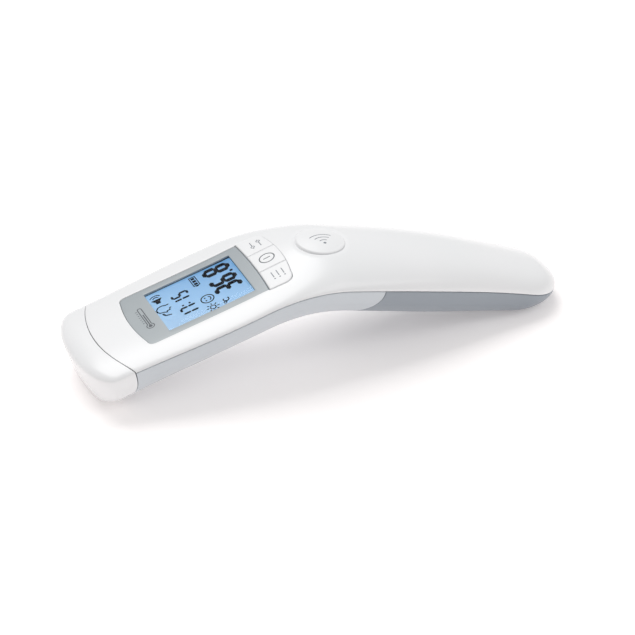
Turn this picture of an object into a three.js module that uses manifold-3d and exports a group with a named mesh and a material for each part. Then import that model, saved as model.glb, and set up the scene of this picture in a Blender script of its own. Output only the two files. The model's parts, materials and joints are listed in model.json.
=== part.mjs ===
// Non-contact infrared thermometer: a bent wand with a display head, three keys, a scan button,
// a slide-off sensor cap and a slide-off battery cover over two AAA cells.
// Millimetres, +Z up. The head points to -X and the handle to +X. The wand rests on the lower edge
// of its cap and on the tail of its battery cover, and the origin is at the bottom centre of its box.
//
// The body follows a spine in the XZ plane. A place on it is (s, y, h): s is the distance along the
// spine from the tip, y is across, and h is the height over the spine, square to it. The seam
// between the two casings lies at h = 0.

import * as THREE from 'three'
import { mergeVertices } from 'three/addons/utils/BufferGeometryUtils.js'
import Module from 'manifold-3d'

const wasm = await Module()
wasm.setup()

// Driving dimensions: the spine
const DEGREE = Math.PI / 180
const BODY_LENGTH = 158.5
const HEAD_LENGTH = 54.5
const HEAD_SLOPE = 15.245 * DEGREE
const BEND_RADIUS = 55.6
const BEND_ANGLE = 29.3 * DEGREE
const HANDLE_ANGLE = 6.2 * DEGREE
const BEND_END = HEAD_LENGTH + BEND_RADIUS * BEND_ANGLE
const BEHIND_HEAD = 70

// Driving dimensions: the body's cross-section at places along the spine, as [s, size]
const HALF_WIDTH = [[0, 20.5], [12, 20.5], [47, 21.9], [81, 20], [109, 17.9], [135, 15], [158.5, 13.4]]
const CROWN = [[0, 0.4], [50, 0.5], [60, 1], [70, 2.7], [83, 4.6], [119, 3.8], [158.5, 2]]
const SHOULDER = [[0, 2.1], [20, 1.8], [55, 1.8], [81, 2.9], [119, 4], [158.5, 3]]
const DEPTH = [[0, 12.8], [41, 10.9], [81, 11.1], [119, 11], [158.5, 7.8]]
const SHOULDER_POWER = 5
const BELLY_POWER = 3.2
const BELLY_ROOT = 2.2
const TIP_ROUND = { side: 8, top: 6, bottom: 3 }
const TAIL_ROUND = { side: 13, top: 9, bottom: 15 }
const TAIL_POWER = { side: 2, top: 2, bottom: 1.5 }

// Driving dimensions: walls and clearances
const WALL = 1.6
const GAP = 0.3
const LINER_INSET = WALL + GAP
const RESTING_FLAT = 0.3

// Driving dimensions: the sensor cap
const CAP_WALL = 1.3
const CAP_LENGTH = 8
const CAP_SEAM_RADIUS = 46
const NOSE_FRONT = 7
const NOSE_BACK = 16
const NOSE_WALL = 1.4
const SENSOR = { h: -5.1, mouth: 4.1, throat: 2.4, funnelEnd: 13.5, can: 4.2, canEnd: 19, window: 2.3 }

// Driving dimensions: the display window and keys
const WINDOW = { from: 19.4, to: 59.1, halfWidth: 13.4, corner: 2.4, recess: 0.25, thickness: 0.55 }
const WINDOW_BOW = { front: 1.2, back: 0.4 }
const VIEW = { from: 27.9, to: 55.6, halfWidth: 10.7 }
const KEYS = { from: 59.5, to: 67.6, halfWidth: 13.9, split: 4.8, corner: 3.6, bow: 0.9, height: 0.25 }
const KEY_MIDDLE = (KEYS.from + KEYS.to) / 2
const SHARP_CORNER = 0.4
const SCAN = { at: 79, alongRadius: 7.2, acrossRadius: 7.7, height: 0.8, flange: 1.1 }
const DISH = { margin: 1.9, depth: 0.7, floor: 0.87 }

// Driving dimensions: the battery bay, two AAA cells side by side
const CELL = { radius: 5.25, length: 44.5, nub: 1.9, nubLength: 1 }
const BAY = { at: 118.5, halfLength: 25.6, halfWidth: 10.95, wall: 1.1, top: 2.4 }
const CELL_PLACE = { y: 5.45, h: -2.1 }
const COVER_WALL = 1.5
const COVER_FRONT = 81
const COVER_FRONT_RADIUS = 21
const CONTACT = { clearance: 0.3, thickness: 0.5, edge: 1.6, farEdge: 9.4, bridge: 9.2 }
const COIL = { turns: 2.5, wide: 3.1, narrow: 2, wire: 0.3, length: 3.4 }

// Driving dimensions: boards
const BOARD = { from: 23, to: 67.5, halfWidth: 14.8, top: -5.3, thickness: 1.2 }
const BOARD_BOTTOM = BOARD.top - BOARD.thickness
const SENSOR_BOARD = { halfWidth: 8, thickness: 1, bottom: -9.3, top: -1 }

const BOARD_FACE = BOARD.top + GAP
const PANEL = { from: 26.2, to: 57, halfWidth: 12, top: 0.95, thickness: 1.9 }
const PANEL_BOTTOM = PANEL.top - PANEL.thickness
const GUIDE = { end: PANEL.to - 3, halfWidth: 11.4, top: PANEL_BOTTOM - GAP, thickness: 2.3 }
const STRIP = { from: PANEL.to - 2.2, to: PANEL.to - 0.4, halfWidth: 11 }
const HOLDER = { from: PANEL.from - 1.5, to: PANEL.to + 1.4, halfWidth: 13.6, inside: 12.3, sunk: 0.5 }
const RIBBON = { from: 65.9, to: 72.6, halfWidth: 5, bottom: -3.45, top: -3.2 }

// Driving dimensions: what lies under the keys and the scan button
const KEY_SPOTS = [9.2, 0, -9.2]
const MAT = { top: 2.7, bottom: 3.5, margin: 0.6, pillar: 1.8, pillarLow: BOARD.top + 1.6 }
const DOME = { spread: 1.6, rise: 6 }
const SCAN_STEM = 5.6
const SWITCH_SIZE = 3

// Driving dimensions: the screws in the battery bay and in the nose
const SCREW = { shank: 1, hole: 1.3, head: 1.8, headHeight: 1.2, counterbore: 2.1 }
const SCREW_STEPS = 14
const NOSE_SCREWS = { y: 14.6, h: -5, tip: 20.5, boss: 2.3, bossEnd: 22, pillar: 2.6 }
const BAY_SCREWS = { at: 95.2, y: 13.9, headLow: -5, tip: 2.4 }
const BAY_SCREW_PAD = { radius: 2.8, top: -2.6 }
const BAY_SCREW_POST = { radius: 1.9, low: -2.3 }

// Driving dimensions: the joining step under the front of the battery cover
const JOINING = { from: 72, to: 96, inset: 3.1, top: -0.8 }

// Heights and widths that clear the whole body
const CLEAR_HEIGHT = 40
const CLEAR_WIDTH = 32

// How finely the body is divided: rings stand closer together where its ends round off
const SECTION_STEPS = 10
const ROUND_STEPS = 20
const SECTION_STOPS = [
  0.4, 1.2, 2.6, 4.6, 7, 9, 12, 20, 32, 44, 54, 60, 66, 72, 78, 84, 92, 101, 110, 119, 128, 136,
  141, 145, 148.5, 151.5, 154, 156, 157.3, 158.1,
]
const END_CLEARANCE = 0.06
const STOP_CLEARANCE = 0.2

const plastic = (color, roughness) => new THREE.MeshStandardMaterial({ color, roughness, metalness: 0 })
const metal = (color, roughness) => new THREE.MeshStandardMaterial({ color, roughness, metalness: 1 })
const white = plastic(0xf2f3f5, 0.25)
const keyWhite = plastic(0xf6f6f7, 0.45)
const paleGrey = plastic(0xc3c8cd, 0.35)
const slateGrey = plastic(0x8c939b, 0.4)
const silver = plastic(0xaeb4b8, 0.4)
const black = plastic(0x222326, 0.6)
const frostWhite = plastic(0xe6ebef, 0.6)
const rubberGrey = plastic(0x8a8f94, 0.85)
const displayBlue = plastic(0x7fb2e0, 0.2)
const boardGreen = plastic(0x1f6a45, 0.5)
const cellSleeve = plastic(0x30353c, 0.35)
const ribbonAmber = plastic(0xb06a22, 0.45)
const steel = metal(0xc4c6c8, 0.3)
const gold = metal(0xd8b25c, 0.3)
const clear = plastic(0xe8f2fa, 0.05)
clear.transparent = true
clear.opacity = 0.3

const model = new THREE.Group()

// --- The spine and the body's sections ---

function turnAlong(start, length, turn) {
  const chord = turn === 0 ? length : (2 * length * Math.sin(turn / 2)) / turn
  const direction = start.slope - turn / 2
  return {
    x: start.x + chord * Math.cos(direction),
    z: start.z + chord * Math.sin(direction),
    slope: start.slope - turn,
  }
}

function spineAt(s) {
  const headEnd = turnAlong({ x: 0, z: 0, slope: HEAD_SLOPE }, Math.min(s, HEAD_LENGTH), 0)
  if (s <= HEAD_LENGTH) return headEnd
  const bend = Math.min(s, BEND_END) - HEAD_LENGTH
  const bendEnd = turnAlong(headEnd, bend, bend / BEND_RADIUS)
  if (s <= BEND_END) return bendEnd
  const handle = s - BEND_END
  return turnAlong(bendEnd, handle, (HANDLE_ANGLE * handle) / (BODY_LENGTH - BEND_END))
}

// The frame of a place on the spine: X along it, Y across, Z square to it and outwards.
function frameAt(s) {
  const { x, z, slope } = spineAt(s)
  const along = new THREE.Vector3(Math.cos(slope), 0, Math.sin(slope))
  const across = new THREE.Vector3(0, 1, 0)
  const outward = new THREE.Vector3(-Math.sin(slope), 0, Math.cos(slope))
  return new THREE.Matrix4().makeBasis(along, across, outward).setPosition(x, 0, z)
}

// A smooth curve through [s, size] pairs.
function smooth(pairs, s) {
  const last = pairs.length - 1
  const slopeAt = (i) => {
    const [before, after] = [pairs[Math.max(i - 1, 0)], pairs[Math.min(i + 1, last)]]
    return (after[1] - before[1]) / (after[0] - before[0])
  }
  const i = Math.max(0, Math.min(last - 1, pairs.findIndex((pair) => pair[0] > s) - 1))
  const index = s >= pairs[last][0] ? last - 1 : i
  const [s0, v0] = pairs[index]
  const [s1, v1] = pairs[index + 1]
  const span = s1 - s0
  const t = Math.max(0, Math.min(1, (s - s0) / span))
  const [t2, t3] = [t * t, t * t * t]
  return (2 * t3 - 3 * t2 + 1) * v0 + (t3 - 2 * t2 + t) * span * slopeAt(index)
    + (3 * t2 - 2 * t3) * v1 + (t3 - t2) * span * slopeAt(index + 1)
}

// 0 at a rounded end, rising to 1 one radius in.
function roundEnd(distance, radius, power) {
  const t = Math.max(0, Math.min(1, 1 - distance / radius))
  return (1 - t ** power) ** (1 / power)
}

function sectionAt(s, inset) {
  const tip = s - inset
  const tail = BODY_LENGTH - inset - s
  const ends = (key, power) =>
    roundEnd(tip, Math.max(TIP_ROUND[key] - inset, 0.5), power)
    * roundEnd(tail, TAIL_ROUND[key] - inset, TAIL_POWER[key])
  return {
    halfWidth: (smooth(HALF_WIDTH, s) - inset) * ends('side', 2.2),
    crown: smooth(CROWN, s) * ends('top', 2),
    shoulder: (smooth(SHOULDER, s) - inset) * ends('top', 2),
    depth: (smooth(DEPTH, s) - inset) * ends('bottom', 2),
  }
}

const topHeight = ({ crown, shoulder }, across) =>
  crown * (1 - across ** 2) + shoulder * Math.sqrt(Math.max(0, 1 - Math.abs(across) ** SHOULDER_POWER))
const bellyHeight = ({ depth }, across) =>
  -depth * Math.max(0, 1 - Math.abs(across) ** BELLY_POWER) ** (1 / BELLY_ROOT)

// One ring of the body's surface: over the top from +Y to -Y, then back under the belly.
function bodyRing(s, inset) {
  const frame = frameAt(s)
  const size = sectionAt(s, inset)
  const ring = []
  for (let i = 0; i < 2 * SECTION_STEPS; i++) {
    const turn = (Math.PI * i) / SECTION_STEPS
    const across = Math.cos(turn)
    const height = i <= SECTION_STEPS ? topHeight(size, across) : bellyHeight(size, across)
    ring.push(new THREE.Vector3(0, across * size.halfWidth, height).applyMatrix4(frame))
  }
  return ring
}

// --- Solids ---

function solidFrom(geometry, matrix = new THREE.Matrix4()) {
  const bare = geometry.index ? geometry.toNonIndexed() : geometry.clone()
  bare.deleteAttribute('normal')
  bare.deleteAttribute('uv')
  const merged = mergeVertices(bare.applyMatrix4(matrix), 1e-5)
  return new wasm.Manifold(new wasm.Mesh({
    numProp: 3,
    vertProperties: new Float32Array(merged.attributes.position.array),
    triVerts: new Uint32Array(merged.index.array),
  }))
}

// A closed skin over rings of equal length, with a flat fan on each end.
function loft(rings) {
  const count = rings[0].length
  const points = rings.flat()
  const faces = []
  for (let r = 0; r < rings.length - 1; r++) {
    for (let i = 0; i < count; i++) {
      const next = (i + 1) % count
      const [a, b, c, d] = [r * count + i, r * count + next, (r + 1) * count + next, (r + 1) * count + i]
      faces.push(a, b, c, a, c, d)
    }
  }
  const middle = (ring) => ring.reduce((sum, p) => sum.add(p), new THREE.Vector3()).divideScalar(count)
  const startMiddle = points.push(middle(rings[0])) - 1
  const endMiddle = points.push(middle(rings[rings.length - 1])) - 1
  const lastRing = (rings.length - 1) * count
  for (let i = 0; i < count; i++) {
    const next = (i + 1) % count
    faces.push(startMiddle, next, i, endMiddle, lastRing + i, lastRing + next)
  }
  const geometry = new THREE.BufferGeometry().setFromPoints(points)
  geometry.setIndex(faces)
  return solidFrom(geometry)
}

// The body's outer form, or that form moved inwards, between two places on the spine.
function bodySolid(inset, from = 0, to = BODY_LENGTH) {
  const start = Math.max(from, inset + END_CLEARANCE)
  const end = Math.min(to, BODY_LENGTH - inset - END_CLEARANCE)
  const stops = SECTION_STOPS.filter((s) => s > start + STOP_CLEARANCE && s < end - STOP_CLEARANCE)
  return loft([start, ...stops, end].map((s) => bodyRing(s, inset)))
}

// Everything between two heights over the spine, between two places on it.
function layer(bottom, top, from = -5, to = BODY_LENGTH + 5) {
  const steps = Math.ceil((to - from) / 6)
  const rings = []
  for (let i = 0; i <= steps; i++) {
    const frame = frameAt(from + ((to - from) * i) / steps)
    const edge = CLEAR_HEIGHT
    const corners = [[edge, top], [-edge, top], [-edge, bottom], [edge, bottom]]
    rings.push(corners.map(([y, h]) => new THREE.Vector3(0, y, h).applyMatrix4(frame)))
  }
  return loft(rings)
}

function box(at, [x0, x1], [y0, y1], [z0, z1]) {
  const geometry = new THREE.BoxGeometry(x1 - x0, y1 - y0, z1 - z0)
  geometry.translate((x0 + x1) / 2, (y0 + y1) / 2, (z0 + z1) / 2)
  return solidFrom(geometry, frameAt(at))
}

// A plan outline in (s, y), drawn around the place "at", raised through the given heights.
function prism(at, outline, bottom, top) {
  const options = { depth: top - bottom, bevelEnabled: false, curveSegments: 8 }
  const geometry = new THREE.ExtrudeGeometry(outline, options)
  geometry.translate(0, 0, bottom)
  return solidFrom(geometry, frameAt(at))
}

// A round piece whose profile is [radius, height] points, standing on h at (s, y).
function standing(at, [x, y], profile, steps = ROUND_STEPS) {
  const points = profile.map(([radius, height]) => new THREE.Vector2(radius, height))
  const geometry = new THREE.LatheGeometry(points, steps)
  geometry.rotateX(Math.PI / 2)
  geometry.translate(x, y, 0)
  return solidFrom(geometry, frameAt(at))
}

// A round piece whose profile is [radius, distance] points, lying along the spine at (y, h).
function lying(at, [y, h], profile, steps = ROUND_STEPS) {
  const points = profile.map(([radius, distance]) => new THREE.Vector2(radius, distance))
  const geometry = new THREE.LatheGeometry(points, steps)
  geometry.rotateZ(-Math.PI / 2)
  geometry.translate(0, y, h)
  return solidFrom(geometry, frameAt(at))
}

const centred = (half) => [-half, half]
const rod = (radius, from, to) => [[0, from], [radius, from], [radius, to], [0, to]]

// A rounded rectangle whose front and back edges bow outwards in the middle, or inwards below 0.
function roundedOutline([x0, x1], halfWidth, [frontCorner, frontBow], [backCorner, backBow]) {
  const outline = new THREE.Shape()
  const [front, back] = [x0 + frontBow, x1 - backBow]
  outline.moveTo(front + frontCorner, -halfWidth)
  outline.lineTo(back - backCorner, -halfWidth)
  outline.quadraticCurveTo(back, -halfWidth, back, -halfWidth + backCorner)
  outline.quadraticCurveTo(x1 + backBow, 0, back, halfWidth - backCorner)
  outline.quadraticCurveTo(back, halfWidth, back - backCorner, halfWidth)
  outline.lineTo(front + frontCorner, halfWidth)
  outline.quadraticCurveTo(front, halfWidth, front, halfWidth - frontCorner)
  outline.quadraticCurveTo(x0 - frontBow, 0, front, -halfWidth + frontCorner)
  outline.quadraticCurveTo(front, -halfWidth, front + frontCorner, -halfWidth)
  return outline
}

function ellipseOutline(alongRadius, acrossRadius) {
  const outline = new THREE.Shape()
  outline.absellipse(0, 0, alongRadius, acrossRadius, 0, 2 * Math.PI)
  return outline
}

// The plan of everything on the head's side of an arc that bulges towards the tip.
function tipSide(arcFront, radius, reach) {
  const outline = new THREE.Shape()
  const side = Math.min(radius * 0.98, 30)
  const back = arcFront + radius - Math.sqrt(radius ** 2 - side ** 2)
  const half = Math.asin(side / radius)
  outline.moveTo(arcFront - reach, -CLEAR_WIDTH)
  outline.lineTo(back, -CLEAR_WIDTH)
  outline.lineTo(back, -side)
  outline.absarc(arcFront + radius, 0, radius, Math.PI + half, Math.PI - half, true)
  outline.lineTo(back, CLEAR_WIDTH)
  outline.lineTo(arcFront - reach, CLEAR_WIDTH)
  return outline
}

function addPart(name, solid, material) {
  const { vertProperties, triVerts, numProp } = solid.getMesh()
  const geometry = new THREE.BufferGeometry()
  geometry.setAttribute('position', new THREE.BufferAttribute(new Float32Array(vertProperties), numProp))
  geometry.setIndex(new THREE.BufferAttribute(new Uint32Array(triVerts), 1))
  geometry.computeVertexNormals()
  const part = new THREE.Mesh(geometry, material)
  part.name = name
  model.add(part)
}

// --- Shared forms ---

const outer = bodySolid(0)
const inner = bodySolid(WALL)
const skin = outer.subtract(inner)
const liner = bodySolid(LINER_INSET)
const aboveSeam = layer(GAP / 2, CLEAR_HEIGHT)
const belowSeam = layer(-CLEAR_HEIGHT, -GAP / 2)
const capSide = (shift) =>
  prism(0, tipSide(CAP_LENGTH + shift, CAP_SEAM_RADIUS, 20), -CLEAR_HEIGHT, CLEAR_HEIGHT)
const coverPlan = tipSide(0, COVER_FRONT_RADIUS, 120)
const headSideOfCover = (shift) => prism(COVER_FRONT + shift, coverPlan, -CLEAR_HEIGHT, CLEAR_HEIGHT)
const behindHead = layer(-CLEAR_HEIGHT + 1, CLEAR_HEIGHT - 1, BEHIND_HEAD)

// --- Sensor cap: a cup that slides off the nose along the head ---

const capHollow = bodySolid(CAP_WALL, 0, 18)
const cap = bodySolid(0, 0, 18).subtract(capHollow).intersect(capSide(-GAP / 2))

// --- Battery cover: the belly of the handle, sliding off towards the tail ---

const cover = outer.subtract(bodySolid(COVER_WALL)).intersect(belowSeam).intersect(behindHead)
  .subtract(headSideOfCover(GAP / 2))

const lowest = Math.min(cap.boundingBox().min[2], cover.boundingBox().min[2]) + RESTING_FLAT
const ground = solidFrom(new THREE.BoxGeometry(400, 100, 20).translate(80, 0, lowest - 10))
addPart('sensor_cap', cap.subtract(ground), white)
addPart('battery_cover', cover.subtract(ground), slateGrey)

// --- Fasteners and their places ---

const sides = [['left', 1], ['right', -1]]
const bayScrewPiece = (side, profile, steps) =>
  standing(BAY_SCREWS.at, [0, side * BAY_SCREWS.y], profile, steps)
const noseScrewPiece = (side, profile, steps) =>
  lying(0, [side * NOSE_SCREWS.y, NOSE_SCREWS.h], profile, steps)

// --- Top casing: a lid over the whole wand, with the window, key and scan openings ---

const windowPlan = (grow) => roundedOutline([WINDOW.from - grow, WINDOW.to + grow / 2],
  WINDOW.halfWidth + grow, [WINDOW.corner, WINDOW_BOW.front], [SHARP_CORNER, WINDOW_BOW.back])
// A length along the spine is this much longer on the outside of the bend.
const stretchAt = (s) => 1 + topHeight(sectionAt(s, 0), 0) / BEND_RADIUS
const keyReach = (stretchAt(KEY_MIDDLE) * (KEYS.to - KEYS.from)) / 2
const keyPlan = (grow) => roundedOutline([-keyReach - grow, keyReach + grow],
  KEYS.halfWidth + grow, [SHARP_CORNER, -WINDOW_BOW.back], [KEYS.corner, KEYS.bow])
const SCAN_TOP = topHeight(sectionAt(SCAN.at, 0), 0)

function scanDish() {
  const dish = new THREE.CylinderGeometry(1, DISH.floor, 2, 32)
  dish.rotateX(Math.PI / 2)
  dish.scale(SCAN.alongRadius + DISH.margin, SCAN.acrossRadius + DISH.margin, 1)
  dish.translate(0, 0, SCAN_TOP + 1 - DISH.depth)
  return solidFrom(dish, frameAt(SCAN.at))
}

function topCasing() {
  let casing = skin.intersect(aboveSeam).subtract(capSide(GAP / 2))
  casing = casing.subtract(prism(0, windowPlan(GAP), -2, 20))
  casing = casing.subtract(prism(KEY_MIDDLE, keyPlan(GAP), -2, 20))
  casing = casing.subtract(scanDish())
  const scanHole = ellipseOutline(SCAN.alongRadius + GAP, SCAN.acrossRadius + GAP)
  casing = casing.subtract(prism(SCAN.at, scanHole, 0, 20))
  const insideSkin = bodySolid(WALL / 2)
  for (const [, side] of sides) {
    const post = bayScrewPiece(side, rod(BAY_SCREW_POST.radius, BAY_SCREW_POST.low, 12))
    const pilot = bayScrewPiece(side, rod(SCREW.hole, -4, BAY_SCREWS.tip + 0.4))
    casing = casing.add(post.intersect(insideSkin)).subtract(pilot)
  }
  return casing
}
addPart('top_casing', topCasing(), white)

// --- Bottom casing: the belly of the head and bend, with the battery bay behind it ---

const bayPocket = box(BAY.at, centred(BAY.halfLength), centred(BAY.halfWidth), [-25, 10])

const bayScrewCuts = (side) => [
  bayScrewPiece(side, rod(SCREW.counterbore, -20, BAY_SCREWS.headLow + SCREW.headHeight + 0.2)),
  bayScrewPiece(side, rod(SCREW.hole, -10, 0)),
  bayScrewPiece(side, rod(BAY_SCREW_POST.radius + GAP, BAY_SCREW_PAD.top, 10)),
]

function bayWalls() {
  const reach = BAY.halfLength + BAY.wall
  const side = BAY.halfWidth + BAY.wall
  const block = box(BAY.at, centred(reach), centred(side), [-20, BAY.top]).intersect(liner)
  const rib = box(BAY.at, centred(reach - 0.2), centred(0.6), [BAY.top - 1, BAY.top])
  const padProfile = rod(BAY_SCREW_PAD.radius, -20, BAY_SCREW_PAD.top)
  const pads = sides.map(([, side]) => bayScrewPiece(side, padProfile))
  return pads.reduce((sum, pad) => sum.add(pad.intersect(liner)), block).subtract(bayPocket).add(rib)
}

function bottomCasing() {
  const joiningBand = layer(-CLEAR_HEIGHT, JOINING.top, JOINING.from, JOINING.to)
  const joiningInside = bodySolid(JOINING.inset)
  const joiningStep = bodySolid(WALL / 2).subtract(joiningInside).intersect(joiningBand)
    .intersect(headSideOfCover(-GAP / 2))
  const ledge = liner.subtract(joiningInside).intersect(joiningBand)
  let casing = skin.intersect(belowSeam).subtract(capSide(GAP / 2)).intersect(headSideOfCover(-GAP / 2))
  casing = casing.add(joiningStep).add(ledge.subtract(bayPocket)).add(bayWalls())
  for (const [, side] of sides) {
    for (const cut of bayScrewCuts(side)) casing = casing.subtract(cut)
    const bossSpan = [NOSE_BACK + GAP, NOSE_SCREWS.bossEnd]
    const boss = noseScrewPiece(side, rod(NOSE_SCREWS.boss, ...bossSpan))
    const web = [side * NOSE_SCREWS.y, side * 22].sort((a, b) => a - b)
    const rib = box(0, bossSpan, web, [NOSE_SCREWS.h - 1, NOSE_SCREWS.h + 1])
    const pilot = noseScrewPiece(side, rod(SCREW.hole, 10, NOSE_SCREWS.tip + 0.5))
    casing = casing.add(boss.add(rib).intersect(bodySolid(WALL / 2))).subtract(pilot)
  }
  return casing
}
addPart('bottom_casing', bottomCasing(), paleGrey)

// --- Sensor: a nose behind the cap, holding a polished funnel, the thermopile and its filter ---


const sensorPiece = (profile) => lying(0, [0, SENSOR.h], profile)

function sensorNose() {
  const hollow = bodySolid(LINER_INSET + NOSE_WALL, NOSE_FRONT + NOSE_WALL, 20)
  const barrel = sensorPiece(rod(SENSOR.mouth + NOSE_WALL, NOSE_FRONT + 0.2, 12)).intersect(liner)
  let nose = bodySolid(LINER_INSET, NOSE_FRONT, NOSE_BACK).subtract(hollow).add(barrel)
  for (const [, side] of sides) {
    const pillar = noseScrewPiece(side, rod(NOSE_SCREWS.pillar, NOSE_FRONT + 0.2, NOSE_BACK))
    nose = nose.add(pillar.intersect(liner))
    nose = nose.subtract(noseScrewPiece(side, rod(SCREW.hole, 0, 20)))
    nose = nose.subtract(noseScrewPiece(side, rod(SCREW.counterbore, 0, NOSE_FRONT + 2)))
  }
  return nose.subtract(sensorPiece(rod(SENSOR.mouth + 0.8, 0, 20)))
}
addPart('sensor_nose', sensorNose(), white)

const funnelFront = NOSE_FRONT + 0.3
const funnelOutside = SENSOR.mouth + 0.5
const funnelProfile = [
  [SENSOR.mouth, funnelFront], [funnelOutside, funnelFront], [funnelOutside, SENSOR.funnelEnd],
  [SENSOR.throat, SENSOR.funnelEnd], [SENSOR.mouth, funnelFront],
]
addPart('sensor_funnel', sensorPiece(funnelProfile), steel)
const filterSeat = SENSOR.funnelEnd + GAP
const canWindow = sensorPiece(rod(SENSOR.window, 0, filterSeat + 1))
addPart('thermopile_can', sensorPiece(rod(SENSOR.can, filterSeat, SENSOR.canEnd)).subtract(canWindow), gold)
const filterDisc = rod(SENSOR.window - GAP, filterSeat + 0.1, filterSeat + 0.7)
addPart('infrared_filter', sensorPiece(filterDisc), black)
const sensorBoardSpan = [SENSOR.canEnd + GAP, SENSOR.canEnd + GAP + SENSOR_BOARD.thickness]
const sensorBoardHeights = [SENSOR_BOARD.bottom, SENSOR_BOARD.top]
addPart('sensor_board', box(0, sensorBoardSpan, centred(SENSOR_BOARD.halfWidth),
  sensorBoardHeights), boardGreen)

// --- Display: a silver frame and a clear lens over the liquid-crystal panel and its backlight ---

const windowBand = bodySolid(WINDOW.recess).subtract(bodySolid(WINDOW.recess + WINDOW.thickness))
const viewPlan = roundedOutline([VIEW.from, VIEW.to], VIEW.halfWidth, [SHARP_CORNER, 0], [SHARP_CORNER, 0])
const lensPlan = roundedOutline([VIEW.from + GAP, VIEW.to - GAP], VIEW.halfWidth - GAP, [0.3, 0], [0.3, 0])
const viewHole = prism(0, viewPlan, -5, 20)
addPart('window_frame', windowBand.intersect(prism(0, windowPlan(0), -1, 20)).subtract(viewHole), silver)
const lensBand = bodySolid(WINDOW.recess + 0.05).subtract(bodySolid(WINDOW.recess + WINDOW.thickness))
addPart('display_lens', lensBand.intersect(prism(0, lensPlan, -1, 20)), clear)

addPart('lcd_panel',
  box(0, [PANEL.from, PANEL.to], centred(PANEL.halfWidth), [PANEL_BOTTOM, PANEL.top]), displayBlue)
addPart('backlight_guide',
  box(0, [PANEL.from, GUIDE.end], centred(GUIDE.halfWidth), [GUIDE.top - GUIDE.thickness, GUIDE.top]),
  frostWhite)
addPart('contact_strip',
  box(0, [STRIP.from, STRIP.to], centred(STRIP.halfWidth), [BOARD_FACE, GUIDE.top]), rubberGrey)
const holderHeights = [BOARD_FACE, PANEL.top - HOLDER.sunk]
const holderOuter = box(0, [HOLDER.from, HOLDER.to], centred(HOLDER.halfWidth), holderHeights)
const holderInner = box(0, [PANEL.from - GAP, PANEL.to + GAP], centred(HOLDER.inside), [-9, 3])
addPart('lcd_holder', holderOuter.subtract(holderInner), frostWhite)

// --- Keys: three keys side by side behind the window, over one silicone mat ---

const keyBand = bodySolid(-KEYS.height).subtract(bodySolid(2))
const keySlices = [
  ['key_left', KEYS.split + GAP / 2, 30],
  ['key_power', -KEYS.split + GAP / 2, KEYS.split - GAP / 2],
  ['key_right', -30, -KEYS.split - GAP / 2],
]
const keyForm = keyBand.intersect(prism(KEY_MIDDLE, keyPlan(0), 0, 20))
for (const [name, low, high] of keySlices) {
  addPart(name, keyForm.intersect(box(KEY_MIDDLE, [-20, 20], [low, high], [-5, 20])), keyWhite)
}

function keyMat() {
  const band = bodySolid(MAT.top).subtract(bodySolid(MAT.bottom))
  const sheet = band.intersect(prism(KEY_MIDDLE, keyPlan(MAT.margin), 0, 20))
  const pillarTop = bodySolid(MAT.top + 0.2)
  return KEY_SPOTS.reduce((mat, y) => {
    const pillar = standing(0, [KEY_MIDDLE, y], rod(MAT.pillar, MAT.pillarLow, 5), 12)
    return mat.add(pillar.intersect(pillarTop))
  }, sheet)
}
addPart('key_mat', keyMat(), rubberGrey)

// --- Scan button: a domed oval on its own switch board at the bend ---

function scanButton() {
  const head = prism(SCAN.at, ellipseOutline(SCAN.alongRadius, SCAN.acrossRadius), SCAN_TOP - 3.2, 20)
  const dome = new THREE.SphereGeometry(1, 28, 16)
  dome.rotateX(Math.PI / 2)
  dome.scale(SCAN.alongRadius * DOME.spread, SCAN.acrossRadius * DOME.spread, DOME.rise)
  dome.translate(0, 0, SCAN_TOP + SCAN.height - DOME.rise)
  const flangePlan = ellipseOutline(SCAN.alongRadius + SCAN.flange, SCAN.acrossRadius + SCAN.flange)
  const flangeBand = bodySolid(WALL + 0.4).subtract(bodySolid(WALL + 1.6))
  const flange = flangeBand.intersect(prism(SCAN.at, flangePlan, 0, 20))
  const stem = standing(SCAN.at, [0, 0], rod(2, SCAN_TOP - SCAN_STEM, SCAN_TOP - 3))
  return head.intersect(solidFrom(dome, frameAt(SCAN.at))).add(flange).add(stem)
}
addPart('scan_button', scanButton(), keyWhite)
const switchTop = SCAN_TOP - SCAN_STEM - 1.1
const switchBase = switchTop - SWITCH_SIZE
const switchWidth = centred(SWITCH_SIZE)
addPart('scan_switch', box(SCAN.at, switchWidth, switchWidth, [switchBase, switchTop]), black)
const scanBoardTop = switchBase - GAP
const scanBoardHeights = [scanBoardTop - BOARD.thickness, scanBoardTop]
addPart('scan_board', box(SCAN.at, [-6, 7], [-9, 9], scanBoardHeights), boardGreen)

const ribbonStrip = prism(SCAN.at, roundedOutline([-20, 10], RIBBON.halfWidth, [0.1, 0], [0.1, 0]), -20, 20)
const ribbonBand = layer(RIBBON.bottom, RIBBON.top, RIBBON.from, RIBBON.to)
addPart('link_ribbon', ribbonBand.intersect(ribbonStrip), ribbonAmber)

// --- Main board and what it carries ---

addPart('main_board',
  box(0, [BOARD.from, BOARD.to], centred(BOARD.halfWidth), [BOARD_BOTTOM, BOARD.top]), boardGreen)
KEY_SPOTS.forEach((y, i) => {
  const dome = [[0, 0], [2.2, 0], [2.2, 0.2], [1.2, 0.6], [0, 0.7]].map(([r, h]) => [r, h + BOARD_FACE])
  addPart(`key_switch_${i + 1}`, standing(0, [KEY_MIDDLE, y], dome, 14), steel)
})
const under = BOARD_BOTTOM - GAP
addPart('microcontroller', box(0, [32, 39], [-3.5, 3.5], [under - 1, under]), black)
addPart('memory_chip', box(0, [43, 47.5], [4, 8], [under - 1, under]), black)
addPart('buzzer', standing(0, [56, 0], rod(5.5, under - 1.5, under)), black)

// --- Batteries and contacts ---

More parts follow.
